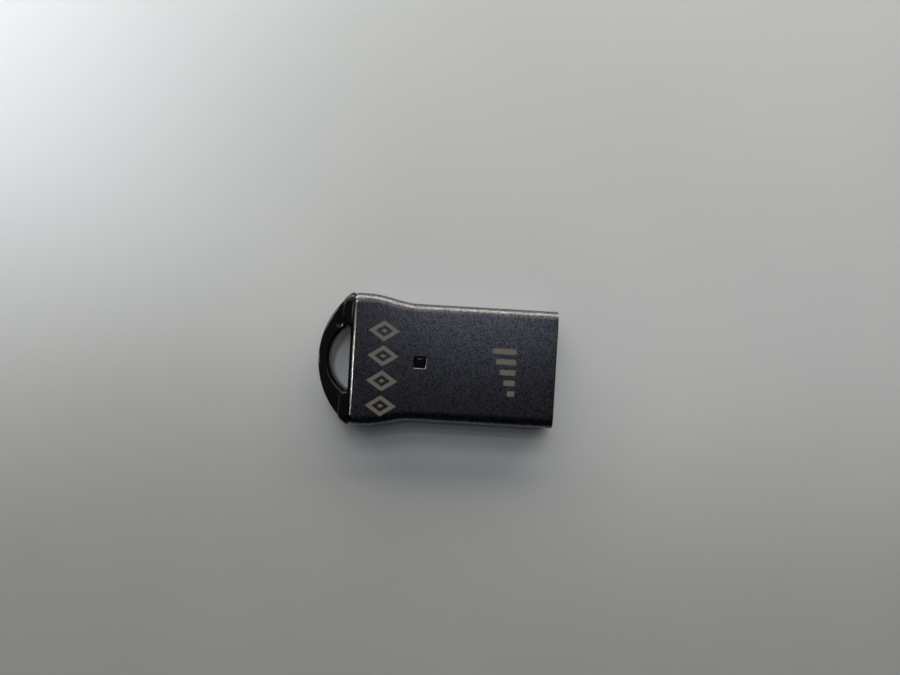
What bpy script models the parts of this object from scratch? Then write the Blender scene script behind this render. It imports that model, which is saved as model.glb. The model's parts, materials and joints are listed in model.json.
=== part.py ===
"""A capless USB flash drive: a plated sheet-metal shell with a snap-in cartridge.

The cartridge is the tail moulding with its cord eye, a latch tongue, a carrier tray and a chip-on-board
memory module. It slides into the shell from behind, and the latch's tooth rises into the shell's hole.

Frame: +X is the way the plug goes into a port, +Z is the side with the latch hole, and the origin is the
centre of the base. Units are metres.
"""

import math

import bmesh
import bpy
from mathutils import Matrix, Vector

MM = 0.001

# Shell: a flat tube that is a standard plug at the mouth and flares sideways towards the tail.
PLUG_WIDTH = 12.0 * MM
PLUG_HEIGHT = 4.5 * MM
SHELL_LENGTH = 20.85 * MM
WALL = 0.3 * MM
EDGE_RADIUS = 0.8 * MM
RIM_CHAMFER = 0.07 * MM
FLARE_STEP = 0.79 * MM
FLARE_LENGTH = 5.0 * MM
FLARE_STRAIGHT = 1.45 * MM

# Seam of the rolled sheet, along the middle of the underside, with two dovetails
SEAM_WIDTH = 0.06 * MM
SEAM_DEPTH = 0.12 * MM
DOVETAIL_FROM_MOUTH = (4.0 * MM, 12.5 * MM)
DOVETAIL_NECK = 1.3 * MM
DOVETAIL_HEAD = 2.0 * MM
DOVETAIL_REACH = 1.0 * MM

# Clearances: between mouldings and shell, along a bonded joint, and round what the mould compound encloses.
FIT = 0.05 * MM
BOND = 0.02 * MM
POCKET_GAP = 0.03 * MM

# Tail moulding: two shoulders as high as the shell, a thinner loop round the cord eye, and a neck inside the
# shell. The bar between the eye and the shell is as thin as the loop.
LOOP_REACH = 3.55 * MM
LOOP_STRAND = 1.15 * MM
LOOP_THICKNESS = 3.1 * MM
LOOP_EDGE = 0.35 * MM
COLLAR_LENGTH = 1.05 * MM
COLLAR_EDGE = 0.12 * MM
SHOULDER = 0.3 * MM
EYE_BAR = 0.32 * MM
EYE_HEIGHT = 6.9 * MM
EYE_CORNER = 0.35 * MM
EYE_EDGE = 0.25 * MM
SHOULDER_FROM_EYE = 0.1 * MM
NECK_LENGTH = 4.4 * MM

# Latch: the hole's centre is measured from the rear rim. The root takes a share of the block's height.
LATCH_FROM_RIM = 7.0 * MM
LATCH_HOLE = 1.12 * MM
LATCH_HOLE_CHAMFER = 0.13 * MM
TOOTH_GAP = 0.08 * MM
TOOTH_RECESS = 0.14 * MM
ARM_WIDTH = 1.8 * MM
ARM_THICKNESS = 0.45 * MM
ARM_LENGTH = 3.2 * MM
ARM_TIP = 0.3 * MM
ARM_SIDE_GAP = 0.3 * MM
ROOT_LENGTH = 1.1 * MM
ROOT_SHARE = 0.6
BLOCK_FRONT_WALL = 0.6 * MM

# Carrier tray
TRAY_RECESS = 0.4 * MM
TRAY_FLOOR = 0.4 * MM
TRAY_LIP = 0.5 * MM
TRAY_REAR_WALL = 0.6 * MM
TAB_WIDTH = 5.0 * MM
TAB_THICKNESS = 0.5 * MM
TAB_LENGTH = 1.8 * MM
TAB_BITE = 0.3 * MM
PEG_RADIUS = 0.45 * MM
PEG_FROM_REAR = 2.4 * MM

# Memory module: a laminate board, contacts above it, and chips and passives below it in mould compound.
BOARD_THICKNESS = 0.35 * MM
MOULD_THICKNESS = 0.95 * MM
BOARD_CORNER = 0.3 * MM
CONTACT_THICKNESS = 0.04 * MM
CONTACT_WIDTH = 1.5 * MM
CONTACT_CORNER = 0.2 * MM
CONTACT_REAR_FROM_FRONT = 8.5 * MM
POWER_CONTACT_FROM_FRONT = 0.5 * MM
DATA_CONTACT_FROM_FRONT = 1.5 * MM
POWER_CONTACT_Y = 3.5 * MM
DATA_CONTACT_Y = 1.0 * MM

DIE_THICKNESS = 0.12 * MM
DIE_SIDE_MARGIN = 1.2 * MM
DIE_REAR_MARGIN = 1.1 * MM
DIE_STAGGER = 0.5 * MM
DIE_TO_CONTROLLER = 0.7 * MM
CONTROLLER_SIDE = 3.0 * MM
CONTROLLER_THICKNESS = 0.2 * MM
CONTROLLER_FROM_FRONT = 1.8 * MM

CAPACITOR_SIZE = Vector((1.0, 0.5, 0.5)) * MM
RESISTOR_SIZE = Vector((0.6, 0.3, 0.23)) * MM
PASSIVE_FIRST_Y = 2.1 * MM
CAPACITOR_PITCH = 0.95 * MM
RESISTOR_PITCH = 0.7 * MM
PASSIVE_FROM_FRONT = 2.4 * MM
RESISTOR_FROM_FRONT = 4.0 * MM

CORNER_STEPS = 6
ARC_STEPS = 36
FLARE_STEPS = 14
OVERLAP = 0.25 * MM

# Places along X. The object is centred on the origin, so both ends follow from the overall length.
OVERALL_LENGTH = SHELL_LENGTH + LOOP_REACH
MOUTH_X = OVERALL_LENGTH / 2
RIM_X = MOUTH_X - SHELL_LENGTH
TAIL_X = -OVERALL_LENGTH / 2
LATCH_X = RIM_X + LATCH_FROM_RIM
NECK_FRONT_X = RIM_X + NECK_LENGTH
COLLAR_FRONT_X = RIM_X - FIT
COLLAR_REAR_X = COLLAR_FRONT_X - COLLAR_LENGTH
EYE_FLAT_X = RIM_X - EYE_BAR
TRAY_FRONT_X = MOUTH_X - TRAY_RECESS
TRAY_REAR_X = NECK_FRONT_X + FIT
BOARD_FRONT_X = TRAY_FRONT_X - TRAY_LIP - FIT
BOARD_REAR_X = TRAY_REAR_X + TRAY_REAR_WALL + FIT
PEG_X = BOARD_REAR_X + PEG_FROM_REAR
SLOT_FRONT_X = LATCH_X + LATCH_HOLE / 2 + ARM_TIP + FIT
BLOCK_FRONT_X = SLOT_FRONT_X + BLOCK_FRONT_WALL
ARM_TIP_X = SLOT_FRONT_X - FIT
ROOT_FRONT_X = ARM_TIP_X - ARM_LENGTH
ROOT_REAR_X = ROOT_FRONT_X - ROOT_LENGTH

# Heights, from the base up. Each layer stands on the one below it.
CEILING_Z = PLUG_HEIGHT - WALL
TRAY_LOW_Z = WALL + FIT
TRAY_TOP_Z = TRAY_LOW_Z + TRAY_FLOOR
MOULD_LOW_Z = TRAY_TOP_Z + FIT
MOULD_TOP_Z = MOULD_LOW_Z + MOULD_THICKNESS
BOARD_LOW_Z = MOULD_TOP_Z + BOND
BOARD_TOP_Z = BOARD_LOW_Z + BOARD_THICKNESS
CONTACT_LOW_Z = BOARD_TOP_Z + BOND
CONTACT_TOP_Z = CONTACT_LOW_Z + CONTACT_THICKNESS
BLOCK_LOW_Z = CONTACT_TOP_Z + FIT
CHIP_TOP_Z = BOARD_LOW_Z - BOND
INSERT_TOP_Z = CEILING_Z - FIT
ROOT_LOW_Z = INSERT_TOP_Z - (INSERT_TOP_Z - BLOCK_LOW_Z) * ROOT_SHARE
SLOT_LOW_Z = ROOT_LOW_Z - FIT
TOOTH_TOP_Z = PLUG_HEIGHT - TOOTH_RECESS
LOOP_LOW_Z = (PLUG_HEIGHT - LOOP_THICKNESS) / 2
LOOP_HIGH_Z = LOOP_LOW_Z + LOOP_THICKNESS
TAB_LOW_Z = MOULD_LOW_Z + TAB_BITE

# Widths
FLARE_HALF = PLUG_WIDTH / 2 + FLARE_STEP
MODULE_HALF = PLUG_WIDTH / 2 - WALL - FIT
INNER_RADIUS = EDGE_RADIUS - WALL
INSERT_RADIUS = INNER_RADIUS - FIT


def material(name, colour, roughness, metallic=0.0):
    """A Principled material with one colour."""
    made = bpy.data.materials.new(name)
    made.use_nodes = True
    shader = made.node_tree.nodes["Principled BSDF"]
    shader.inputs["Base Color"].default_value = (*colour, 1.0)
    shader.inputs["Roughness"].default_value = roughness
    shader.inputs["Metallic"].default_value = metallic
    return made


def clear_scene():
    for old in list(bpy.data.objects):
        bpy.data.objects.remove(old)


def add_mesh(name, bm, finish=None):
    """A scene object that holds bm. A cutter has no finish, so it is hidden from renders."""
    bmesh.ops.recalc_face_normals(bm, faces=bm.faces)
    mesh = bpy.data.meshes.new(name)
    bm.to_mesh(mesh)
    bm.free()
    made = bpy.data.objects.new(name, mesh)
    bpy.context.scene.collection.objects.link(made)
    if finish:
        mesh.materials.append(finish)
        mesh.shade_smooth()
        mesh.set_sharp_from_angle(angle=math.radians(30))
    else:
        made.hide_render = True
        made.display_type = "WIRE"
    return made


def combine(target, other, operation):
    """Adds a live Boolean of other to target."""
    step = target.modifiers.new(f"{operation.lower()}_{other.name}", "BOOLEAN")
    step.operation = operation
    step.solver = "EXACT"
    step.object = other


def rounded_rectangle(low, high, radius, top_radius=None):
    """Points of a rounded rectangle, counter-clockwise. top_radius is for the two corners at the high v."""
    (u0, v0), (u1, v1) = low, high
    top = radius if top_radius is None else top_radius
    corners = (
        (u1 - radius, v0 + radius, radius, -90),
        (u1 - top, v1 - top, top, 0),
        (u0 + top, v1 - top, top, 90),
        (u0 + radius, v0 + radius, radius, 180),
    )
    points = []
    for u, v, r, start in corners:
        for step in range(CORNER_STEPS + 1):
            angle = math.radians(start + 90 * step / CORNER_STEPS)
            points.append((u + r * math.cos(angle), v + r * math.sin(angle)))
    return points


def section(x, half, low, high, radius, top_radius=None):
    """A rounded rectangle across the object at x, as points in space."""
    outline = rounded_rectangle((-half, low), (half, high), radius, top_radius)
    return [Vector((x, y, z)) for y, z in outline]


def skin(sections, ring_closed=False):
    """A closed skin over sections of equal point counts, capped unless the last one joins the first."""
    bm = bmesh.new()
    rings = [[bm.verts.new(p) for p in points] for points in sections]
    pairs = list(zip(rings, rings[1:]))
    if ring_closed:
        pairs.append((rings[-1], rings[0]))
    else:
        bm.faces.new(rings[0])
        bm.faces.new(rings[-1])
    for first, second in pairs:
        count = len(first)
        for i in range(count):
            j = (i + 1) % count
            bm.faces.new((first[i], first[j], second[j], second[i]))
    return bm


def prism(outline, low, high, axis="Z", bevel=0.0):
    """A flat outline, extruded along an axis from low to high, with its rim edges bevelled."""
    place = {
        "Z": lambda u, v, w: (u, v, w),
        "Y": lambda u, v, w: (u, w, v),
        "X": lambda u, v, w: (w, u, v),
    }[axis]
    bm = bmesh.new()
    ends = [[bm.verts.new(place(u, v, w)) for u, v in outline] for w in (low, high)]
    caps = [bm.faces.new(end) for end in ends]
    for i in range(len(outline)):
        j = (i + 1) % len(outline)
        bm.faces.new((ends[0][i], ends[0][j], ends[1][j], ends[1][i]))
    if bevel:
        rims = {edge for cap in caps for edge in cap.edges}
        bmesh.ops.bevel(bm, geom=list(rims), offset=bevel, segments=4, profile=0.5, affect="EDGES")
    return bm


def block(low, high):
    """A plain box between two corners."""
    bm = bmesh.new()
    bmesh.ops.create_cube(bm, size=1.0)
    size = [b - a for a, b in zip(low, high)]
    middle = [(a + b) / 2 for a, b in zip(low, high)]
    bmesh.ops.transform(bm, matrix=Matrix.LocRotScale(middle, None, size), verts=bm.verts)
    return bm


def arc(centre_x, radius, half_chord, steps):
    """Points of an arc that bulges towards -X, from y = +half_chord to y = -half_chord."""
    reach = math.asin(half_chord / radius)
    points = []
    for step in range(steps + 1):
        angle = reach - 2 * reach * step / steps
        points.append((centre_x - radius * math.cos(angle), radius * math.sin(angle)))
    return points


def arc_radius(half_chord, rise):
    """Radius of the circle through a chord's two ends and a point that far above its middle."""
    return (half_chord**2 + rise**2) / (2 * rise)


def shell_half(x):
    """Half the shell's outer width at x. The flare is an S-curve between two straight stretches."""
    flare_end = RIM_X + FLARE_STRAIGHT
    share = (flare_end + FLARE_LENGTH - x) / FLARE_LENGTH
    share = min(1.0, max(0.0, share))
    return PLUG_WIDTH / 2 + FLARE_STEP * share * share * (3 - 2 * share)


def flare_stations(first, last):
    """X places from first to last that follow the flare closely."""
    start = RIM_X + FLARE_STRAIGHT
    bends = [start + FLARE_LENGTH * i / FLARE_STEPS for i in range(FLARE_STEPS + 1)]
    return [first, *[x for x in bends if first < x < last], last]


SHOULDER_X = RIM_X - SHOULDER
OUTER_ARC_RADIUS = arc_radius(FLARE_HALF, SHOULDER_X - TAIL_X)
OUTER_ARC_X = TAIL_X + OUTER_ARC_RADIUS


def tail_half(x):
    """Half the tail's width at x: flush with the shell at first, then along the outer arc."""
    if x >= SHOULDER_X:
        return FLARE_HALF
    return math.sqrt(OUTER_ARC_RADIUS**2 - (OUTER_ARC_X - x) ** 2)


def seam_path():
    """The seam's middle line, from the mouth to the rear rim. Its dovetails face opposite ways."""
    points = [(MOUTH_X + OVERLAP, 0.0)]
    for from_mouth, sign in zip(DOVETAIL_FROM_MOUTH, (1, -1)):
        x = MOUTH_X - from_mouth
        reach = sign * DOVETAIL_REACH
        points.append((x + DOVETAIL_NECK / 2, 0.0))
        points.append((x + DOVETAIL_HEAD / 2, reach))
        points.append((x - DOVETAIL_HEAD / 2, reach))
        points.append((x - DOVETAIL_NECK / 2, 0.0))
    points.append((RIM_X - OVERLAP, 0.0))
    return [Vector(point) for point in points]


def ribbon(path, width):
    """The outline of a strip of one width along a path, with mitred corners."""
    sides = []
    for i, point in enumerate(path):
        before = (point - path[i - 1]).normalized() if i else None
        after = (path[i + 1] - point).normalized() if i + 1 < len(path) else None
        before = before or after
        after = after or before
        along = (before + after).normalized()
        across = Vector((-along.y, along.x))
        stretch = along.dot(before)
        sides.append((point, across * width / 2 / stretch))
    left = [tuple(point + offset) for point, offset in sides]
    right = [tuple(point - offset) for point, offset in reversed(sides)]
    return left + right


def make_shell(finish):
    """The tube is skinned from the rear rim forwards along its outside, and back along its inside."""

    def outer(x, inset=0.0):
        return section(
            x, shell_half(x) - inset, inset, PLUG_HEIGHT - inset, EDGE_RADIUS - inset
        )

    def inner(x, outset=0.0):
        return outer(x, WALL - outset)

    stations = flare_stations(RIM_X + RIM_CHAMFER, MOUTH_X - RIM_CHAMFER)
    sections = [outer(RIM_X, RIM_CHAMFER)]
    sections += [outer(x) for x in stations]
    sections += [outer(MOUTH_X, RIM_CHAMFER), inner(MOUTH_X, RIM_CHAMFER)]
    sections += [inner(x) for x in reversed(stations)]
    sections += [inner(RIM_X, RIM_CHAMFER)]
    shell = add_mesh("metal_shell", skin(sections, ring_closed=True), finish)

    half = LATCH_HOLE / 2
    wide = half + LATCH_HOLE_CHAMFER + OVERLAP
    hole = add_mesh(
        "latch_hole_cutter",
        block(
            (LATCH_X - half, -half, CEILING_Z - OVERLAP),
            (LATCH_X + half, half, PLUG_HEIGHT + OVERLAP),
        ),
    )
    combine(shell, hole, "DIFFERENCE")

    def square(side, z):
        corners = ((-side, -side), (side, -side), (side, side), (-side, side))
        return [Vector((LATCH_X + u, v, z)) for u, v in corners]

    lead_in = skin(
        [square(half, PLUG_HEIGHT - LATCH_HOLE_CHAMFER), square(wide, PLUG_HEIGHT + OVERLAP)]
    )
    combine(shell, add_mesh("latch_lead_in_cutter", lead_in), "DIFFERENCE")

    groove = prism(ribbon(seam_path(), SEAM_WIDTH), -OVERLAP, SEAM_DEPTH)
    combine(shell, add_mesh("seam_cutter", groove), "DIFFERENCE")


def eye_outline(grow):
    """The cord eye, a D: a flat next to the shell, and an arc moved outwards by grow."""
    half = EYE_HEIGHT / 2
    rise = EYE_FLAT_X - (TAIL_X + LOOP_STRAND)
    radius = arc_radius(half, rise)
    centre_x = TAIL_X + LOOP_STRAND + radius
    radius += grow
    # A corner circle touches the flat and the arc from inside.
    corner_x = EYE_FLAT_X - EYE_CORNER
    corner_y = math.sqrt((radius - EYE_CORNER) ** 2 - (centre_x - corner_x) ** 2)
    touch = math.atan2(corner_y, corner_x - centre_x)
    upper = []
    for step in range(CORNER_STEPS + 1):
        angle = touch * step / CORNER_STEPS
        upper.append(
            (corner_x + EYE_CORNER * math.cos(angle), corner_y + EYE_CORNER * math.sin(angle))
        )
    along = arc(centre_x, radius, radius * math.sin(touch), ARC_STEPS)[1:-1]
    lower = [(x, -y) for x, y in reversed(upper)]
    return upper + along + lower


def neck_body():
    rear = COLLAR_FRONT_X - COLLAR_LENGTH / 2
    sections = []
    for x in flare_stations(rear, BLOCK_FRONT_X):
        half = shell_half(x) - WALL - FIT
        sections.append(section(x, half, TRAY_LOW_Z, INSERT_TOP_Z, INSERT_RADIUS))
    return skin(sections)


def collar_body():
    """The collar follows the outer arc. Its rear edge is chamfered."""
    rear_half = tail_half(COLLAR_REAR_X) - COLLAR_EDGE
    sections = [
        section(
            COLLAR_REAR_X,
            rear_half,
            COLLAR_EDGE,
            PLUG_HEIGHT - COLLAR_EDGE,
            EDGE_RADIUS - COLLAR_EDGE,
        )
    ]
    first = COLLAR_REAR_X + COLLAR_EDGE
    places = [first + (SHOULDER_X - first) * i / CORNER_STEPS for i in range(CORNER_STEPS + 1)]
    for x in (*places, COLLAR_FRONT_X):
        sections.append(section(x, tail_half(x), 0.0, PLUG_HEIGHT, EDGE_RADIUS))
    return skin(sections)


def loop_body():
    """The loop stays a little inside the collar's corners, so that the two never share a face."""
    front_x = COLLAR_FRONT_X - COLLAR_LENGTH / 3
    outline = arc(OUTER_ARC_X, OUTER_ARC_RADIUS, tail_half(front_x), ARC_STEPS)
    outline = [(x, y) for x, y in outline if x < COLLAR_REAR_X + COLLAR_LENGTH / 3]
    outline.append((front_x, outline[-1][1]))
    outline.insert(0, (front_x, outline[0][1]))
    return prism(outline, LOOP_LOW_Z, LOOP_HIGH_Z, bevel=LOOP_EDGE)


def eye_body():
    """The eye right through the tail, with a chamfer at the loop's upper and lower face."""
    levels = (
        (-OVERLAP, EYE_EDGE),
        (LOOP_LOW_Z, EYE_EDGE),
        (LOOP_LOW_Z + EYE_EDGE, 0.0),
        (LOOP_HIGH_Z - EYE_EDGE, 0.0),
        (LOOP_HIGH_Z, EYE_EDGE),
        (PLUG_HEIGHT + OVERLAP, EYE_EDGE),
    )
    return skin([[Vector((x, y, z)) for x, y in eye_outline(grow)] for z, grow in levels])


def shoulder_gaps():
    """What is taken off the collar between its shoulders, above and below the bar: (name, shape)."""
    half = EYE_HEIGHT / 2 + SHOULDER_FROM_EYE
    rear_x = COLLAR_REAR_X - OVERLAP
    upper = block((rear_x, -half, LOOP_HIGH_Z), (RIM_X, half, PLUG_HEIGHT + OVERLAP))
    lower = block((rear_x, -half, -OVERLAP), (RIM_X, half, LOOP_LOW_Z))
    return ("upper", upper), ("lower", lower)


def make_tail(finish):
    """Neck, collar and loop, joined. The eye, the module's space and the two sockets are cut out."""
    tail = add_mesh("tail_loop", neck_body(), finish)
    combine(tail, add_mesh("collar_body", collar_body()), "UNION")
    combine(tail, add_mesh("loop_body", loop_body()), "UNION")
    for name, shape in shoulder_gaps():
        combine(tail, add_mesh(f"{name}_gap_cutter", shape), "DIFFERENCE")
    combine(tail, add_mesh("eye_cutter", eye_body()), "DIFFERENCE")

    under = add_mesh(
        "module_space_cutter",
        block(
            (NECK_FRONT_X, -PLUG_WIDTH, -OVERLAP),
            (BLOCK_FRONT_X + OVERLAP, PLUG_WIDTH, BLOCK_LOW_Z),
        ),
    )
    combine(tail, under, "DIFFERENCE")

    slot_half = ARM_WIDTH / 2 + ARM_SIDE_GAP
    slot = add_mesh(
        "latch_slot_cutter",
        block(
            (ROOT_REAR_X - FIT, -slot_half, SLOT_LOW_Z),
            (SLOT_FRONT_X, slot_half, CEILING_Z + OVERLAP),
        ),
    )
    combine(tail, slot, "DIFFERENCE")

    tab_half = TAB_WIDTH / 2 + FIT
    socket = add_mesh(
        "tab_socket_cutter",
        block(
            (TRAY_REAR_X - TAB_LENGTH - FIT, -tab_half, TAB_LOW_Z - FIT),
            (TRAY_REAR_X + OVERLAP, tab_half, TAB_LOW_Z + TAB_THICKNESS + FIT),
        ),
    )
    combine(tail, socket, "DIFFERENCE")


def make_latch(finish):
    """A cantilever arm on a root block in the tail's slot. Its tooth rises into the shell's hole."""
    arm_low = INSERT_TOP_Z - ARM_THICKNESS
    profile = [
        (ROOT_REAR_X, INSERT_TOP_Z),
        (ROOT_REAR_X, ROOT_LOW_Z),
        (ROOT_FRONT_X, ROOT_LOW_Z),
        (ROOT_FRONT_X, arm_low - ARM_THICKNESS / 2),
        (ROOT_FRONT_X + ARM_THICKNESS / 2, arm_low),
        (ARM_TIP_X, arm_low),
        (ARM_TIP_X, INSERT_TOP_Z),
    ]
    latch = add_mesh("latch_tongue", prism(profile, -ARM_WIDTH / 2, ARM_WIDTH / 2, "Y"), finish)

    half = LATCH_HOLE / 2 - TOOTH_GAP
    ramp = TOOTH_TOP_Z - INSERT_TOP_Z
    tooth_profile = [
        (LATCH_X - half, arm_low + ARM_THICKNESS / 2),
        (LATCH_X + half, arm_low + ARM_THICKNESS / 2),
        (LATCH_X + half, INSERT_TOP_Z),
        (LATCH_X + half - ramp, TOOTH_TOP_Z),
        (LATCH_X - half, TOOTH_TOP_Z),
    ]
    tooth = add_mesh("tooth_body", prism(tooth_profile, -half, half, "Y"))
    combine(latch, tooth, "UNION")

    # Keys on both sides of the root fill the slot's width, and hold the root in the tail.
    key_half = ARM_WIDTH / 2 + ARM_SIDE_GAP - FIT
    key = add_mesh(
        "root_key_body",
        block(
            (ROOT_REAR_X + RIM_CHAMFER, -key_half, ROOT_LOW_Z + RIM_CHAMFER),
            (ROOT_FRONT_X - RIM_CHAMFER, key_half, INSERT_TOP_Z - RIM_CHAMFER),
        ),
    )
    combine(latch, key, "UNION")


def peg_cutters():
    """Cylinders for the notches in the module's sides, a clearance larger than the tray's pegs."""
    made = []
    for side, y in (("left", MODULE_HALF), ("right", -MODULE_HALF)):
        bm = peg(y, PEG_RADIUS + FIT, -OVERLAP, PLUG_HEIGHT)
        made.append(add_mesh(f"peg_cutter_{side}", bm))
    return made


def peg(y, radius, low, high):
    bm = bmesh.new()
    bmesh.ops.create_cone(
        bm,
        cap_ends=True,
        segments=24,
        radius1=radius,
        radius2=radius,
        depth=high - low,
        matrix=Matrix.Translation((PEG_X, y, (low + high) / 2)),
    )
    return bm


def make_tray(finish):
    """A floor that follows the shell's inside, a front lip, a rear wall, a rear tab and two side pegs."""
    ends = (TRAY_REAR_X, TRAY_FRONT_X)
    body = [
        section(x, MODULE_HALF, TRAY_LOW_Z, BOARD_TOP_Z, INSERT_RADIUS, RIM_CHAMFER)
        for x in ends
    ]
    tray = add_mesh("carrier_tray", skin(body), finish)

    bay = add_mesh(
        "module_bay_cutter",
        block(
            (TRAY_REAR_X + TRAY_REAR_WALL, -PLUG_WIDTH, TRAY_TOP_Z),
            (TRAY_FRONT_X - TRAY_LIP, PLUG_WIDTH, PLUG_HEIGHT),
        ),
    )
    combine(tray, bay, "DIFFERENCE")

    ramp = [
        (TRAY_FRONT_X - TRAY_LIP / 2, BOARD_TOP_Z + OVERLAP),
        (TRAY_FRONT_X + OVERLAP, BOARD_TOP_Z + OVERLAP),
        (TRAY_FRONT_X + OVERLAP, BOARD_LOW_Z - TRAY_LIP),
    ]
    lead_in = add_mesh("lip_ramp_cutter", prism(ramp, -PLUG_WIDTH, PLUG_WIDTH, "Y"))
    combine(tray, lead_in, "DIFFERENCE")

    tab = add_mesh(
        "tab_body",
        block(
            (TRAY_REAR_X - TAB_LENGTH, -TAB_WIDTH / 2, TAB_LOW_Z),
            (TRAY_REAR_X + TRAY_REAR_WALL / 2, TAB_WIDTH / 2, TAB_LOW_Z + TAB_THICKNESS),
        ),
    )
    combine(tray, tab, "UNION")

    # The pegs are trimmed to the module's width, so that they clear the shell.
    reach = TRAY_FLOOR / 2
    for side, sign in (("left", 1), ("right", -1)):
        bm = peg(sign * MODULE_HALF, PEG_RADIUS, TRAY_TOP_Z - reach, BOARD_TOP_Z - FIT)
        cut = MODULE_HALF - RIM_CHAMFER
        bmesh.ops.bisect_plane(
            bm,
            geom=[*bm.verts, *bm.edges, *bm.faces],
            plane_co=(0, sign * cut, 0),
            plane_no=(0, sign, 0),
            clear_outer=True,
        )
        open_edges = [edge for edge in bm.edges if edge.is_boundary]
        bmesh.ops.holes_fill(bm, edges=open_edges)
        combine(tray, add_mesh(f"peg_body_{side}", bm), "UNION")


def make_board(finish, notches):
    outline = rounded_rectangle(
        (BOARD_REAR_X, -MODULE_HALF), (BOARD_FRONT_X, MODULE_HALF), BOARD_CORNER
    )
    board = add_mesh("board", prism(outline, BOARD_LOW_Z, BOARD_TOP_Z), finish)
    for notch in notches:
        combine(board, notch, "DIFFERENCE")


def make_contacts(finish):
    """Power contacts reach further forward than data contacts, so that they meet the port first."""
    contacts = (
        ("contact_supply", POWER_CONTACT_Y, POWER_CONTACT_FROM_FRONT),
        ("contact_data_minus", DATA_CONTACT_Y, DATA_CONTACT_FROM_FRONT),
        ("contact_data_plus", -DATA_CONTACT_Y, DATA_CONTACT_FROM_FRONT),
        ("contact_ground", -POWER_CONTACT_Y, POWER_CONTACT_FROM_FRONT),
    )
    half = CONTACT_WIDTH / 2
    for name, y, from_front in contacts:
        outline = rounded_rectangle(
            (BOARD_FRONT_X - CONTACT_REAR_FROM_FRONT, y - half),
            (BOARD_FRONT_X - from_front, y + half),
            CONTACT_CORNER,
        )
        add_mesh(name, prism(outline, CONTACT_LOW_Z, CONTACT_TOP_Z), finish)


def buried_parts():
    """What the mould compound encloses, below the board: (name, kind, low corner, high corner)."""
    controller_front = BOARD_FRONT_X - CONTROLLER_FROM_FRONT
    controller_rear = controller_front - CONTROLLER_SIDE
    die_rear = BOARD_REAR_X + DIE_REAR_MARGIN
    die_front = controller_rear - DIE_TO_CONTROLLER - DIE_STAGGER
    die_half = MODULE_HALF - DIE_SIDE_MARGIN
    upper_top = CHIP_TOP_Z - DIE_THICKNESS - BOND
    parts = [
        (
            "memory_die_first",
            "silicon",
            (die_rear, -die_half, CHIP_TOP_Z - DIE_THICKNESS),
            (die_front, die_half, CHIP_TOP_Z),
        ),
        (
            "memory_die_second",
            "silicon",
            (die_rear + DIE_STAGGER, -die_half, upper_top - DIE_THICKNESS),
            (die_front + DIE_STAGGER, die_half, upper_top),
        ),
        (
            "controller_die",
            "silicon",
            (controller_rear, -CONTROLLER_SIDE / 2, CHIP_TOP_Z - CONTROLLER_THICKNESS),
            (controller_front, CONTROLLER_SIDE / 2, CHIP_TOP_Z),
        ),
    ]

    def passive(name, kind, size, from_front, y):
        x = BOARD_FRONT_X - from_front
        low = (x - size.x / 2, y - size.y / 2, CHIP_TOP_Z - size.z)
        high = (x + size.x / 2, y + size.y / 2, CHIP_TOP_Z)
        return name, kind, low, high

    # Two rows beside the controller, one on each side of it.
    for side, sign in (("left", 1), ("right", -1)):
        for i in range(3):
            y = sign * (PASSIVE_FIRST_Y + i * CAPACITOR_PITCH)
            name = f"capacitor_{side}_{i + 1}"
            parts.append(passive(name, "ceramic", CAPACITOR_SIZE, PASSIVE_FROM_FRONT, y))
        for i in range(2):
            y = sign * (PASSIVE_FIRST_Y + i * RESISTOR_PITCH)
            name = f"resistor_{side}_{i + 1}"
            parts.append(passive(name, "ceramic", RESISTOR_SIZE, RESISTOR_FROM_FRONT, y))
    return parts


def make_mould(finish, chip_finishes, notches):
    """The mould compound, with a pocket for each chip and passive, open towards the board."""
    outline = rounded_rectangle(
        (BOARD_REAR_X, -MODULE_HALF), (BOARD_FRONT_X, MODULE_HALF), BOARD_CORNER
    )
    mould = add_mesh("mould_compound", prism(outline, MOULD_LOW_Z, MOULD_TOP_Z), finish)
    for notch in notches:
        combine(mould, notch, "DIFFERENCE")
    for name, kind, low, high in buried_parts():
        add_mesh(name, block(low, high), chip_finishes[kind])
        around = Vector((POCKET_GAP, POCKET_GAP, POCKET_GAP))
        pocket_high = Vector((high[0], high[1], BOARD_TOP_Z)) + around
        pocket = add_mesh(f"pocket_{name}", block(Vector(low) - around, pocket_high))
        combine(mould, pocket, "DIFFERENCE")


def main():
    clear_scene()
    gunmetal = material("gunmetal_plating", (0.075, 0.078, 0.088), 0.42, 1.0)
    gloss_black = material("gloss_black_plastic", (0.006, 0.006, 0.008), 0.12)
    matt_black = material("matt_black_plastic", (0.012, 0.012, 0.013), 0.5)
    laminate = material("black_laminate", (0.012, 0.02, 0.016), 0.35)
    gold = material("gold_plating", (0.83, 0.58, 0.24), 0.25, 1.0)
    epoxy = material("black_epoxy", (0.014, 0.014, 0.014), 0.6)
    chip_finishes = {
        "silicon": material("silicon", (0.16, 0.17, 0.19), 0.2, 0.6),
        "ceramic": material("passive_ceramic", (0.32, 0.24, 0.17), 0.55),
    }
    make_shell(gunmetal)
    make_tail(gloss_black)
    make_latch(gloss_black)
    make_tray(matt_black)
    notches = peg_cutters()
    make_board(laminate, notches)
    make_contacts(gold)
    make_mould(epoxy, chip_finishes, notches)


main()
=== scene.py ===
"""Looks of a capless USB flash drive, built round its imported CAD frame.

The detailed pieces stand where their CAD nodes are. Everything is in metres, with +X towards the
plug's mouth and +Z out of the marked side.
"""

import json
import math

import bmesh
import bpy
from mathutils import Matrix, Vector


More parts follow.
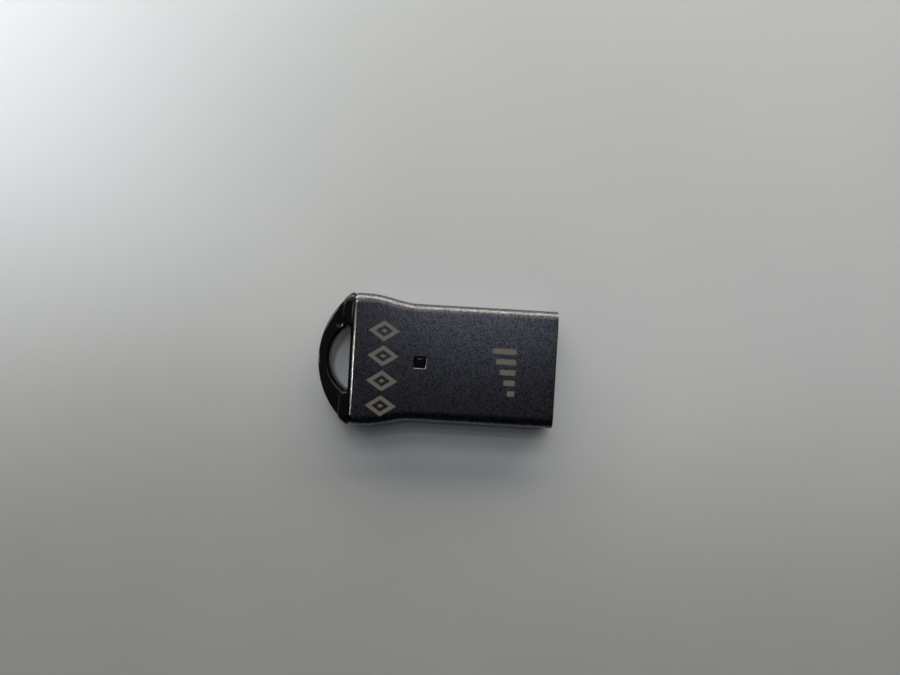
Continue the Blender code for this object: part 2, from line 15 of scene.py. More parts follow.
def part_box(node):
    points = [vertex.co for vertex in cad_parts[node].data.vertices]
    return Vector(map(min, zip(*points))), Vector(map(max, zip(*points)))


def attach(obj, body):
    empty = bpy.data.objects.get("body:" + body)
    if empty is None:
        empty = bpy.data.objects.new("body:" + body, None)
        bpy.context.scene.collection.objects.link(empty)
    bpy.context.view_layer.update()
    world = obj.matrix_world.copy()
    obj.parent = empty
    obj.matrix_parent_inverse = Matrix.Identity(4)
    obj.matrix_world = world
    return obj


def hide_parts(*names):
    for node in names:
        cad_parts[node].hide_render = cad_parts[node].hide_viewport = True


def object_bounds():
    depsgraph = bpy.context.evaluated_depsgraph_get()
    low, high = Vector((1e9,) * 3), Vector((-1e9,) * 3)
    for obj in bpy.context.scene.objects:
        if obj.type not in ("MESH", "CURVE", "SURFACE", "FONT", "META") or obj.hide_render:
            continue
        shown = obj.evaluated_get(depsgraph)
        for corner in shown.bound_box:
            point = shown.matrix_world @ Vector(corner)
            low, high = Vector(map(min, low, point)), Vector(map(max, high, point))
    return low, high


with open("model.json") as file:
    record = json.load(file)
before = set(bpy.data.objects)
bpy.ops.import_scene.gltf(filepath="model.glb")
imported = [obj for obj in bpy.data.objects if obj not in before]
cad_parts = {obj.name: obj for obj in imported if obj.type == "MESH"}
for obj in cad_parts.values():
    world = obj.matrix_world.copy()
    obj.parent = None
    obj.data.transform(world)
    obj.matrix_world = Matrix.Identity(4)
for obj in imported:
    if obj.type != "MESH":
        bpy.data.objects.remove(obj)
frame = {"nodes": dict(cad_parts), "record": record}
cad_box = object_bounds()

MM = 0.001
BODY = "root"

# Places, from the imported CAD
SHELL_LOW, SHELL_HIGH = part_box("metal_shell")
TAIL_LOW, TAIL_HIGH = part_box("tail_loop")
LATCH_LOW, LATCH_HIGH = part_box("latch_tongue")
TRAY_LOW, TRAY_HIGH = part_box("carrier_tray")
BOARD_LOW, BOARD_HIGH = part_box("board")
MOULD_LOW, MOULD_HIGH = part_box("mould_compound")
RIM_X = SHELL_LOW.x
MOUTH_X = SHELL_HIGH.x
TAIL_X = TAIL_LOW.x
HEIGHT = SHELL_HIGH.z
FLARE_HALF = SHELL_HIGH.y
INSERT_LOW_Z = TRAY_LOW.z
CEILING_Z = HEIGHT - 0.3 * MM

# Shell
PLUG_HALF = 6.0 * MM
WALL = 0.3 * MM
EDGE_RADIUS = 0.8 * MM
BEND_STRETCH = 1.4
MOUTH_ROUND = 0.1 * MM
REAR_ROUND = 0.1 * MM
REAR_CHAMFER = Vector((0.2, 0.088)) * MM
FLARE_LENGTH = 5.0 * MM
FLARE_STRAIGHT = 1.45 * MM
SEAM_WIDTH = 0.07 * MM
SEAM_DEPTH = 0.1 * MM
DOVETAIL_FROM_MOUTH = (4.0 * MM, 12.5 * MM)
DOVETAIL_NECK = 1.3 * MM
DOVETAIL_HEAD = 2.0 * MM
DOVETAIL_REACH = 1.0 * MM
FIT = 0.05 * MM

# Latch hole
LATCH_X = RIM_X + 7.0 * MM
HOLE_HALF = 0.56 * MM
HOLE_CORNER = 0.1 * MM
HOLE_ROUND = 0.12 * MM
TOOTH_HALF = 0.48 * MM

# Tail
COLLAR_FRONT_X = RIM_X - FIT
COLLAR_REAR_X = COLLAR_FRONT_X - 1.05 * MM
COLLAR_ROUND = 0.2 * MM
COLLAR_CORNER = 0.5 * MM
COLLAR_FRONT_ROUND = 0.06 * MM
SHOULDER_X = RIM_X - 0.3 * MM
LOOP_HALF_THICKNESS = 1.55 * MM
LOOP_ROUND = 0.22 * MM
LOOP_INSET = 0.02 * MM
STRAND = 1.15 * MM
EYE_FLAT_X = RIM_X - 0.32 * MM
EYE_HALF = 3.45 * MM
EYE_CORNER = 0.35 * MM
EYE_ROUND = 0.42 * MM
GATE_RADIUS = 0.42 * MM
GATE_DEPTH = 0.1 * MM
GATE_FROM_EDGE = 1.2 * MM
GATE_TURN = 152.5
SHOULDER_GAP_HALF = EYE_HALF + 0.1 * MM

# Marks: an ornamental band by the tail and a rising gauge by the mouth
BAND_X = RIM_X + 3.2 * MM
BAND_Y = -0.8 * MM
LOZENGE_HALF = Vector((1.6, 1.08)) * MM
LOZENGE_PITCH = 2.55 * MM
LOZENGE_STROKE = 0.4 * MM
GAUGE_BASE_X = MOUTH_X - 4.1 * MM
GAUGE_Y = -0.5 * MM
GAUGE_PITCH = 1.07 * MM
GAUGE_BAR = 0.56 * MM
GAUGE_SHORTEST = 0.75 * MM
GAUGE_STEP = 0.425 * MM
ETCH_DEPTH = 0.016 * MM

# Tray
TRAY_REAR_WALL = 1.8 * MM
TRAY_FLOOR = 0.4 * MM

OVERLAP = 0.25 * MM
CORNER_STEPS = 12


# ---------------------------------------------------------------- mesh tools


def add_mesh(name, bm, finish=None):
    """An object that holds bm, with the finish if one is given."""
    bmesh.ops.recalc_face_normals(bm, faces=bm.faces)
    mesh = bpy.data.meshes.new(name)
    bm.to_mesh(mesh)
    bm.free()
    made = bpy.data.objects.new(name, mesh)
    bpy.context.scene.collection.objects.link(made)
    if finish:
        mesh.materials.append(finish)
    return made


def apply_modifiers(target):
    """Replaces the mesh with its evaluated one, and clears the modifiers."""
    graph = bpy.context.evaluated_depsgraph_get()
    mesh = bpy.data.meshes.new_from_object(target.evaluated_get(graph))
    target.modifiers.clear()
    target.data = mesh


def combine(target, bm, operation):
    """Applies a Boolean of bm to target."""
    tool = add_mesh("tool", bm)
    step = target.modifiers.new(operation, "BOOLEAN")
    step.operation = operation
    step.solver = "EXACT"
    step.object = tool
    apply_modifiers(target)
    bpy.data.objects.remove(tool)


def cut(target, bm):
    combine(target, bm, "DIFFERENCE")


def join(target, bm):
    combine(target, bm, "UNION")


def finish_piece(target, replaced, bevel=0.0, sharp=35):
    """Small bevels, clean shading, and the piece's ties to the frame."""
    if bevel:
        edges = target.modifiers.new("bevel", "BEVEL")
        edges.width = bevel
        edges.segments = 2
        edges.limit_method = "ANGLE"
        edges.angle_limit = math.radians(sharp)
        edges.use_clamp_overlap = True
        apply_modifiers(target)
    target.data.shade_smooth()
    target.data.set_sharp_from_angle(angle=math.radians(sharp))
    normals = target.modifiers.new("normals", "WEIGHTED_NORMAL")
    normals.keep_sharp = True
    normals.weight = 100
    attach(target, BODY)
    if replaced:
        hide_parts(*replaced)
    return target


def rounded_rectangle(low, high, radius, top_radius=None, steps=CORNER_STEPS):
    """Points of a rounded rectangle, counter-clockwise."""
    (u0, v0), (u1, v1) = low, high
    top = radius if top_radius is None else top_radius
    corners = (
        (u1 - radius, v0 + radius, radius, -90),
        (u1 - top, v1 - top, top, 0),
        (u0 + top, v1 - top, top, 90),
        (u0 + radius, v0 + radius, radius, 180),
    )
    points = []
    for u, v, r, start in corners:
        for step in range(steps + 1):
            angle = math.radians(start + 90 * step / steps)
            points.append((u + r * math.cos(angle), v + r * math.sin(angle)))
    return points


def skin(rings, closed=False):
    """A skin over rings of equal point counts. It is capped unless the last ring joins the first."""
    bm = bmesh.new()
    made = [[bm.verts.new(p) for p in ring] for ring in rings]
    pairs = list(zip(made, made[1:]))
    if closed:
        pairs.append((made[-1], made[0]))
    else:
        bm.faces.new(made[0])
        bm.faces.new(made[-1])
    for first, second in pairs:
        count = len(first)
        for i in range(count):
            j = (i + 1) % count
            bm.faces.new((first[i], first[j], second[j], second[i]))
    return bm


def at_height(outline, z):
    return [(x, y, z) for x, y in outline]


def prism(outline, low, high):
    return skin([at_height(outline, low), at_height(outline, high)])


def plate(outer, inner, low, high):
    """A flat plate with an opening."""
    rings = [
        at_height(outer, low),
        at_height(outer, high),
        at_height(inner, high),
        at_height(inner, low),
    ]
    return skin(rings, closed=True)


def block(low, high):
    bm = bmesh.new()
    bmesh.ops.create_cube(bm, size=1.0)
    size = [b - a for a, b in zip(low, high)]
    middle = [(a + b) / 2 for a, b in zip(low, high)]
    bmesh.ops.transform(bm, matrix=Matrix.LocRotScale(middle, None, size), verts=bm.verts)
    return bm


def quarter(steps):
    """Sine and cosine along a quarter turn."""
    turns = [math.pi / 2 * i / steps for i in range(steps + 1)]
    return [(math.sin(t), math.cos(t)) for t in turns]


# ---------------------------------------------------------------- shell


def shell_half(x):
    """Half the shell's outer width at x."""
    flare_end = RIM_X + FLARE_STRAIGHT
    share = (flare_end + FLARE_LENGTH - x) / FLARE_LENGTH
    share = min(1.0, max(0.0, share))
    return PLUG_HALF + (FLARE_HALF - PLUG_HALF) * share * share * (3 - 2 * share)


def bent_section(x, half, inset, radius=EDGE_RADIUS):
    """A cross-section at x whose corners ease into the top and underside, as bent sheet does."""
    outline = rounded_rectangle((-half, inset), (half, HEIGHT - inset), radius - inset)
    return [
        (x, math.copysign(half - BEND_STRETCH * (half - abs(y)), y), z) for y, z in outline
    ]


def shell_ring(x, depth, radius=EDGE_RADIUS):
    """The shell's cross-section at x, a depth below its outside."""
    return bent_section(x, shell_half(x) - depth, depth, radius)


def shell_stations():
    """X places along the shell: close together in the flare."""
    flare_start = RIM_X + FLARE_STRAIGHT
    places = [RIM_X + FLARE_STRAIGHT / 2]
    places += [flare_start + FLARE_LENGTH * i / 40 for i in range(41)]
    straight = MOUTH_X - (flare_start + FLARE_LENGTH)
    places += [flare_start + FLARE_LENGTH + straight * i / 8 for i in range(1, 8)]
    return places


def rear_rim():
    """(x, depth) up the outer half of the rear rim: round, then a burnished slope up to the outside."""
    slope = math.atan2(REAR_CHAMFER.y, REAR_CHAMFER.x)
    r = REAR_ROUND
    steps = 6
    turns = [(math.pi / 2 - slope) * i / steps for i in range(steps + 1)]
    bend = [(r - r * math.cos(t), -r * math.sin(t)) for t in turns]
    end_x, end_depth = bend[-1]
    lift = REAR_CHAMFER.y - end_depth
    points = [(RIM_X + x, lift + depth) for x, depth in bend]
    eased = 0.03 * MM
    points.append((RIM_X + end_x + REAR_CHAMFER.x - eased, eased * math.tan(slope)))
    points.append((RIM_X + end_x + REAR_CHAMFER.x + eased, 0.0))
    return points


def sheet_path():
    """(x, depth) round the sheet: rear rim, outside, mouth, inside."""
    r = MOUTH_ROUND
    front = MOUTH_X - r
    turn = quarter(6)
    path = rear_rim()
    path += [(x, 0.0) for x in shell_stations()]
    path += [(front + r * s, r - r * c) for s, c in turn]
    path += [(front + r * c, WALL - r + r * s) for s, c in turn]
    path += [(x, WALL) for x in reversed(shell_stations())]
    rear = RIM_X + REAR_ROUND
    path += [(rear - REAR_ROUND * s, WALL - REAR_ROUND + REAR_ROUND * c) for s, c in turn]
    return path


def hole_rings():
    """The latch hole widens into a rounded rim at the top."""

    def ring(half, corner, z):
        outline = rounded_rectangle(
            (LATCH_X - half, -half), (LATCH_X + half, half), corner, steps=6
        )
        return at_height(outline, z)

    rings = [ring(HOLE_HALF, HOLE_CORNER, CEILING_Z - OVERLAP)]
    for s, c in quarter(8):
        grow = HOLE_ROUND * (1 - c)
        z = HEIGHT - HOLE_ROUND * (1 - s)
        rings.append(ring(HOLE_HALF + grow, HOLE_CORNER + grow, z))
    grow = HOLE_ROUND
    rings.append(ring(HOLE_HALF + grow, HOLE_CORNER + grow, HEIGHT + OVERLAP))
    return rings


def seam_path():
    """The seam's middle line from the mouth to the rear rim. Its dovetails face opposite ways."""
    points = [(MOUTH_X + OVERLAP, 0.0)]
    for from_mouth, sign in zip(DOVETAIL_FROM_MOUTH, (1, -1)):
        x = MOUTH_X - from_mouth
        reach = sign * DOVETAIL_REACH
        points.append((x + DOVETAIL_NECK / 2, 0.0))
        points.append((x + DOVETAIL_HEAD / 2, reach))
        points.append((x - DOVETAIL_HEAD / 2, reach))
        points.append((x - DOVETAIL_NECK / 2, 0.0))
    points.append((RIM_X - OVERLAP, 0.0))
    return [Vector(point) for point in points]


def groove(path):
    """A V-shaped groove along a path on the underside, with mitred corners."""
    rings = []
    for i, point in enumerate(path):
        before = (point - path[i - 1]).normalized() if i else None
        after = (path[i + 1] - point).normalized() if i + 1 < len(path) else None
        before = before or after
        after = after or before
        along = (before + after).normalized()
        across = Vector((-along.y, along.x)) * SEAM_WIDTH / 2 / along.dot(before)
        left, right = point + across * 2, point - across * 2
        rings.append(
            [(*left, -SEAM_DEPTH), (*right, -SEAM_DEPTH), (*point, SEAM_DEPTH)]
        )
    return skin(rings)


def lozenge(centre, scale):
    """A lozenge's corners."""
    half = LOZENGE_HALF * scale
    corners = ((-half.x, 0), (0, -half.y), (half.x, 0), (0, half.y))
    return [(centre.x + u, centre.y + v) for u, v in corners]


def lozenge_scale(grow):
    """The scale that moves a lozenge's sides outwards."""
    a, b = LOZENGE_HALF
    return 1 + grow * math.hypot(a, b) / (a * b)


def mark_bodies(grow, low, high):
    """The ornament and the gauge as plates. Their pockets are the same plates, a little larger."""
    bodies = []
    for i in range(4):
        centre = Vector((BAND_X, BAND_Y + (i - 1.5) * LOZENGE_PITCH))
        outer = lozenge(centre, lozenge_scale(grow))
        inner = lozenge(centre, lozenge_scale(-LOZENGE_STROKE - grow))
        bodies.append(plate(outer, inner, low, high))
        bodies.append(prism(lozenge(centre, 0.2 + lozenge_scale(grow) - 1), low, high))
    for i in range(5):
        y = GAUGE_Y + (i - 2) * GAUGE_PITCH
        length = GAUGE_SHORTEST + i * GAUGE_STEP
        half = GAUGE_BAR / 2 + grow
        bodies.append(
            block(
                (GAUGE_BASE_X - length - grow, y - half, low),
                (GAUGE_BASE_X + grow, y + half, high),
            )
        )
    return bodies


def merged(bodies):
    """One mesh that holds several separate bodies."""
    whole = bmesh.new()
    for bm in bodies:
        mesh = bpy.data.meshes.new("part")
        bmesh.ops.recalc_face_normals(bm, faces=bm.faces)
        bm.to_mesh(mesh)
        bm.free()
        whole.from_mesh(mesh)
        bpy.data.meshes.remove(mesh)
    return whole


def is_burnished(place):
    """Whether a place is on the upper half's rubbed edges: rear rim, mouth or latch hole."""
    if place.z < HEIGHT / 2:
        return False
    if place.x < RIM_X + REAR_CHAMFER.x + REAR_ROUND:
        return True
    if place.x > MOUTH_X - MOUTH_ROUND:
        return True
    reach = max(abs(place.x - LATCH_X), abs(place.y)) - HOLE_HALF
    return 0.02 * MM < reach < HOLE_ROUND and place.z > HEIGHT - HOLE_ROUND


def make_shell(finish, etched, burnished):
    rings = [shell_ring(x, depth) for x, depth in sheet_path()]
    shell = add_mesh("plug_shell", skin(rings, closed=True), finish)
    cut(shell, skin(hole_rings()))
    cut(shell, groove(seam_path()))
    gap = 0.003 * MM
    cut(shell, merged(mark_bodies(gap, HEIGHT - ETCH_DEPTH, HEIGHT + OVERLAP)))
    finish_piece(shell, ["metal_shell"])
    shell.data.materials.append(burnished)
    for face in shell.data.polygons:
        if is_burnished(face.center):
            face.material_index = 1
    low, high = HEIGHT - ETCH_DEPTH * 0.9, HEIGHT - ETCH_DEPTH * 0.3
    marks = add_mesh("etched_marks", merged(mark_bodies(0.0, low, high)), etched)
    finish_piece(marks, None)


# ---------------------------------------------------------------- tail


def arc_radius(half_chord, rise):
    return (half_chord**2 + rise**2) / (2 * rise)


OUTER_RADIUS = arc_radius(FLARE_HALF, SHOULDER_X - TAIL_X)
OUTER_CENTRE_X = TAIL_X + OUTER_RADIUS


def tail_half(x):
    """Half the tail's width at x: flush with the shell, then along the outer arc."""
    if x >= SHOULDER_X:
        return FLARE_HALF
    return math.sqrt(OUTER_RADIUS**2 - (OUTER_CENTRE_X - x) ** 2)


def arc(centre_x, radius, front_x, steps):
    """An arc that bulges towards -X, from +y to -y, with its ends at front_x."""
    reach = math.acos((centre_x - front_x) / radius)
    turns = [reach - 2 * reach * i / steps for i in range(steps + 1)]
    return [(centre_x - radius * math.cos(t), radius * math.sin(t)) for t in turns]


def eye_outline(grow):
    """The D-shaped eye: a flat by the shell and an arc, moved outwards by grow on the arc's side."""
    rise = EYE_FLAT_X - (TAIL_X + STRAND)
    radius = arc_radius(EYE_HALF, rise)
    centre_x = TAIL_X + STRAND + radius
    radius += grow
    corner_x = EYE_FLAT_X - EYE_CORNER
    corner_y = math.sqrt((radius - EYE_CORNER) ** 2 - (centre_x - corner_x) ** 2)
    touch = math.atan2(corner_y, corner_x - centre_x)
    turns = [touch * i / 10 for i in range(11)]
    upper = [
        (corner_x + EYE_CORNER * math.cos(t), corner_y + EYE_CORNER * math.sin(t))
        for t in turns
    ]
    along = arc(centre_x, radius, upper[-1][0], 80)[1:-1]
    lower = [(x, -y) for x, y in reversed(upper)]
    return upper + along + lower


def loop_outline(inset):
    front_x = COLLAR_REAR_X + 0.35 * MM
    return arc(OUTER_CENTRE_X, OUTER_RADIUS - LOOP_INSET - inset, front_x, 120)


def levels(radius, half_thickness):
    """(height from the middle, inset) up a side with rounded edges."""
    turn = quarter(10)
    upper = [(half_thickness - radius + radius * s, radius * (1 - c)) for s, c in turn]
    return [(-z, inset) for z, inset in reversed(upper)] + upper


def oval_levels(depth, half_thickness):
    """(height from the middle, inset) up a side that is half an ellipse."""
    turns = [math.pi * i / 24 - math.pi / 2 for i in range(25)]
    return [(half_thickness * math.sin(t), depth * (1 - math.cos(t))) for t in turns]


def gate_dimple():
    """A ball that leaves a shallow dimple, where the plastic was injected."""
    ball = (GATE_RADIUS**2 + GATE_DEPTH**2) / (2 * GATE_DEPTH)
    reach = OUTER_RADIUS - GATE_FROM_EDGE
    turn = math.radians(GATE_TURN)
    place = (
        OUTER_CENTRE_X + reach * math.cos(turn),
        reach * math.sin(turn),
        HEIGHT / 2 + LOOP_HALF_THICKNESS + ball - GATE_DEPTH,
    )
    bm = bmesh.new()
    bmesh.ops.create_uvsphere(bm, u_segments=96, v_segments=96, radius=ball)
    bmesh.ops.translate(bm, verts=bm.verts, vec=place)
    return bm


def collar_rings():
    """The collar's sections, from its rounded rear edge to its front."""
    e = COLLAR_ROUND
    places = [(COLLAR_REAR_X + e * (1 - c), e * (1 - s)) for s, c in quarter(8)]
    first = places[-1][0]
    places += [(first + (SHOULDER_X - first) * i / 10, 0.0) for i in range(1, 11)]
    e = COLLAR_FRONT_ROUND
    places += [(COLLAR_FRONT_X - e + e * s, e * (1 - c)) for s, c in quarter(4)]
    rings = []
    for x, inset in places:
        share = min(1.0, max(0.0, (x - COLLAR_REAR_X) / (SHOULDER_X - COLLAR_REAR_X)))
        radius = COLLAR_CORNER + (EDGE_RADIUS - COLLAR_CORNER) * share**3
        rings.append(bent_section(x, tail_half(x) - 0.4 * inset, inset, radius))
    return rings


def neck_rings(block_front_x):
    """The neck, a clearance inside the shell."""
    rear = COLLAR_FRONT_X - 0.5 * MM
    places = [rear] + [x for x in shell_stations() if x < block_front_x] + [block_front_x]
    rings = []
    for x in places:
        half = shell_half(x) - WALL - FIT
        radius = EDGE_RADIUS - WALL - FIT
        outline = rounded_rectangle(
            (-half, INSERT_LOW_Z), (half, CEILING_Z - FIT), radius
        )
        rings.append([(x, y, z) for y, z in outline])
    return rings


def cut_shoulder_gaps(tail):
    """Lowers the bar between the shoulders to the loop's top, and likewise underneath."""
    middle = HEIGHT / 2
    rear_x = COLLAR_REAR_X - OVERLAP
    half = SHOULDER_GAP_HALF
    for low, high in (
        (-OVERLAP, middle - LOOP_HALF_THICKNESS),
        (middle + LOOP_HALF_THICKNESS, HEIGHT + OVERLAP),
    ):
        cut(tail, block((rear_x, -half, low), (RIM_X, half, high)))


def cut_eye(tail):
    """The eye, whose strand has an oval inner side."""
    steps = oval_levels(EYE_ROUND, LOOP_HALF_THICKNESS)
    steps = [(-HEIGHT, EYE_ROUND), *steps, (HEIGHT, EYE_ROUND)]
    rings = [at_height(eye_outline(grow), HEIGHT / 2 + z) for z, grow in steps]
    cut(tail, skin(rings))


def cut_insides(tail):
    """Space for the module under the neck's block, and the latch's slot in it."""
    block_front_x = TAIL_HIGH.x
    contact_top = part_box("contact_supply")[1].z
    module_rear = (TRAY_LOW.x + TRAY_REAR_WALL - FIT, -PLUG_HALF, -OVERLAP)
    module_front = (block_front_x + OVERLAP, PLUG_HALF, contact_top + FIT)
    cut(tail, block(module_rear, module_front))
    slot_rear = (LATCH_LOW.x - FIT, LATCH_LOW.y - FIT, LATCH_LOW.z - FIT)
    slot_front = (LATCH_HIGH.x + FIT, LATCH_HIGH.y + FIT, HEIGHT)
    cut(tail, block(slot_rear, slot_front))


def make_tail(finish):
    tail = add_mesh("tail_moulding", skin(neck_rings(TAIL_HIGH.x)), finish)
    join(tail, skin(collar_rings()))
    loop = [
        at_height(loop_outline(inset), HEIGHT / 2 + z)
        for z, inset in levels(LOOP_ROUND, LOOP_HALF_THICKNESS)
    ]
    join(tail, skin(loop))
    cut_shoulder_gaps(tail)
    cut_eye(tail)
    cut(tail, gate_dimple())
    cut_insides(tail)
    finish_piece(tail, ["tail_loop"])


# ---------------------------------------------------------------- cartridge


def make_latch(finish):
    """The tongue's arm and root, and the tooth in the hole."""
    top = CEILING_Z - FIT
    arm_low = top - 0.45 * MM
    root_front = LATCH_LOW.x + 1.1 * MM
    arm = block((root_front - OVERLAP, -0.9 * MM, arm_low), (LATCH_HIGH.x, 0.9 * MM, top))
    latch = add_mesh("latch_tongue_detail", arm, finish)
    join(
        latch,
        block((LATCH_LOW.x, LATCH_LOW.y, LATCH_LOW.z), (root_front, LATCH_HIGH.y, top)),
    )
    low, high = (LATCH_X - TOOTH_HALF, -TOOTH_HALF), (LATCH_X + TOOTH_HALF, TOOTH_HALF)
    outline = rounded_rectangle(low, high, 0.08 * MM, steps=5)
    join(latch, prism(outline, arm_low + 0.1 * MM, LATCH_HIGH.z))
    finish_piece(latch, ["latch_tongue"], bevel=0.035 * MM)


def make_tray(finish):
    """Floor, front lip with its lead-in, rear wall and tab."""
    half = PLUG_HALF - WALL - FIT
    radius = EDGE_RADIUS - WALL - FIT
    rear_x = TRAY_LOW.x + TRAY_REAR_WALL
    rings = []
    for x in (rear_x, TRAY_HIGH.x):
        outline = rounded_rectangle(
            (-half, TRAY_LOW.z), (half, BOARD_HIGH.z), radius, 0.07 * MM
        )
        rings.append([(x, y, z) for y, z in outline])
    tray = add_mesh("tray_detail", skin(rings), finish)
    cut(
        tray,
        block(
            (BOARD_LOW.x - FIT, -PLUG_HALF, TRAY_LOW.z + TRAY_FLOOR),
            (BOARD_HIGH.x + FIT, PLUG_HALF, HEIGHT),
        ),
    )
    ramp_top = BOARD_HIGH.z + OVERLAP
    ramp = [
        (TRAY_HIGH.x - 0.25 * MM, ramp_top),
        (TRAY_HIGH.x + OVERLAP, ramp_top),
        (TRAY_HIGH.x + OVERLAP, BOARD_LOW.z - 0.5 * MM),
    ]
    cut(tray, skin([[(x, y, z) for x, z in ramp] for y in (-PLUG_HALF, PLUG_HALF)]))
    tab_low = MOULD_LOW.z + 0.3 * MM
    join(
        tray,
        block(
            (TRAY_LOW.x, -2.5 * MM, tab_low),
            (rear_x + 0.3 * MM, 2.5 * MM, tab_low + 0.5 * MM),
        ),
    )
    finish_piece(tray, ["carrier_tray"], bevel=0.04 * MM)


def make_module(laminate, epoxy, gold):
    """Board and mould compound with eased edges, and the four contacts."""
    for name, node, finish, slot, bevel in (
        ("board_detail", "board", laminate, "black_laminate", 0.02),
        ("mould_detail", "mould_compound", epoxy, "black_epoxy", 0.05),
    ):
        low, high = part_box(node)
        outline = rounded_rectangle((low.x, low.y), (high.x, high.y), 0.3 * MM, steps=8)
        piece = add_mesh(name, prism(outline, low.z, high.z), finish)
        finish_piece(piece, [node], bevel=bevel * MM)
    for role in ("supply", "data_minus", "data_plus", "ground"):
        low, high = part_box(f"contact_{role}")
        outline = rounded_rectangle((low.x, low.y), (high.x, high.y), 0.2 * MM, steps=8)
        pad = add_mesh(f"pad_{role}", prism(outline, low.z, high.z), gold)
        finish_piece(pad, [f"contact_{role}"], bevel=0.012 * MM)


# ---------------------------------------------------------------- materials


class Nodes:
    """A material's node tree, with short ways to add and link nodes."""

    def __init__(self, name):
        self.material = bpy.data.materials.new(name)
        self.material.use_nodes = True
        self.tree = self.material.node_tree
        self.shader = self.tree.nodes["Principled BSDF"]
        self.place = self.add("ShaderNodeTexCoord").outputs["Object"]

    def add(self, kind, values=None, **settings):
        node = self.tree.nodes.new(kind)
        for key, value in settings.items():
            setattr(node, key, value)
        for key, value in (values or {}).items():
            self.put(node.inputs[key], value)
        return node

    def put(self, socket, value):
        if isinstance(value, bpy.types.NodeSocket):
            self.tree.links.new(value, socket)
        else:
            socket.default_value = value

    def set(self, **values):
        for key, value in values.items():
            self.put(self.shader.inputs[key.replace("_", " ")], value)

    def noise(self, size, detail=2.0, roughness=0.5, place=None):
        """Noise from 0 to 1 with features of about that size in metres."""
        node = self.add(
            "ShaderNodeTexNoise",
            {
                "Vector": place or self.place,
                "Scale": 1 / size,
                "Detail": detail,
                "Roughness": roughness,
            },
        )
        return node.outputs["Fac"]

    def stretched(self, scale):
        """Object coordinates scaled along each axis."""
        node = self.add("ShaderNodeMapping", {"Vector": self.place, "Scale": scale})
        return node.outputs["Vector"]

    def math(self, operation, a, b=0.0, c=0.0):
        node = self.add("ShaderNodeMath", {0: a, 1: b, 2: c}, operation=operation)
        return node.outputs[0]

    def ramp(self, value, low, high, to_low=0.0, to_high=1.0):
        """value mapped from low..high to to_low..to_high, clamped."""
        node = self.add(
            "ShaderNodeMapRange",
            {
                "Value": value,
                "From Min": low,
                "From Max": high,
                "To Min": to_low,
                "To Max": to_high,
            },
        )
        return node.outputs["Result"]

    def mix(self, fac, a, b):
        """A colour between a and b."""
        node = self.add("ShaderNodeMix", data_type="RGBA")
        self.put(node.inputs[0], fac)
        self.put(node.inputs[6], a)
        self.put(node.inputs[7], b)
        return node.outputs[2]

    def bump(self, height, distance, strength=1.0, normal=None):
        node = self.add(
            "ShaderNodeBump",
            {"Height": height, "Distance": distance, "Strength": strength},
        )
        if normal:
            self.put(node.inputs["Normal"], normal)
        return node.outputs["Normal"]


def colour(r, g, b):
    return (r, g, b, 1.0)


def facets(nodes, size, place=None):
    """(height, random) of grains that each lean their own way, like a blasted surface."""
    cells = nodes.add(
        "ShaderNodeTexVoronoi",
        {"Vector": place or nodes.place, "Scale": 1 / size},
    )
    away = nodes.add(
        "ShaderNodeVectorMath",
        {0: nodes.place, 1: cells.outputs["Position"]},
        operation="SUBTRACT",
    )
    lean = nodes.add(
        "ShaderNodeVectorMath",
        {0: cells.outputs["Color"], 1: (0.5, 0.5, 0.5)},
        operation="SUBTRACT",
    )
    height = nodes.add(
        "ShaderNodeVectorMath",
        {0: away.outputs[0], 1: lean.outputs[0]},
        operation="DOT_PRODUCT",
    )
    return height.outputs["Value"], cells.outputs["Color"]


def gunmetal():
    nodes = Nodes("gunmetal_blasted")
    height, random = facets(nodes, 0.1 * MM)
    fine = nodes.noise(0.05 * MM, 3.0, 0.6)
    cloud = nodes.noise(0.9 * MM, 3.0, 0.55)
    grain = nodes.add("ShaderNodeSeparateColor", {"Color": random})
    shade = nodes.math("MULTIPLY", fine, 0.5)
    shade = nodes.math("MULTIPLY_ADD", grain.outputs[0], 0.75, shade)
    shade = nodes.ramp(shade, 0.15, 0.9)
    base = nodes.mix(shade, colour(0.036, 0.038, 0.045), colour(0.262, 0.27, 0.298))
    tint = nodes.mix(
        nodes.ramp(cloud, 0.35, 0.65), colour(0.95, 0.88, 1.05), colour(0.88, 1.0, 1.02)
    )
    tinted = nodes.add("ShaderNodeMix", data_type="RGBA", blend_type="MULTIPLY")
    tinted.inputs[0].default_value = 1.0
    nodes.put(tinted.inputs[6], base)
    nodes.put(tinted.inputs[7], tint)
    rough = nodes.math("MULTIPLY_ADD", grain.outputs[1], 0.5, cloud)
    rough = nodes.ramp(rough, 0.3, 1.1, 0.278, 0.3)
    normal = nodes.bump(height, 0.04, 1.0)
    normal = nodes.bump(fine, 0.001 * MM, 0.5, normal)
    nodes.set(Base_Color=tinted.outputs[2], Roughness=rough, Metallic=1.0, Normal=normal)
    return nodes.material


def burnished_metal():
    """Plating rubbed smooth along the edges that hands and sockets touch."""
    nodes = Nodes("burnished_edges")
    fine = nodes.noise(0.07 * MM, 3.0, 0.6)
    patch = nodes.noise(0.7 * MM, 3.0, 0.6)
    base = nodes.mix(patch, colour(0.12, 0.115, 0.11), colour(0.3, 0.288, 0.27))
    rough = nodes.ramp(fine, 0.3, 0.7, 0.13, 0.2)
    normal = nodes.bump(fine, 0.004 * MM, 0.6)
    nodes.set(Base_Color=base, Roughness=rough, Metallic=1.0, Normal=normal)
    return nodes.material


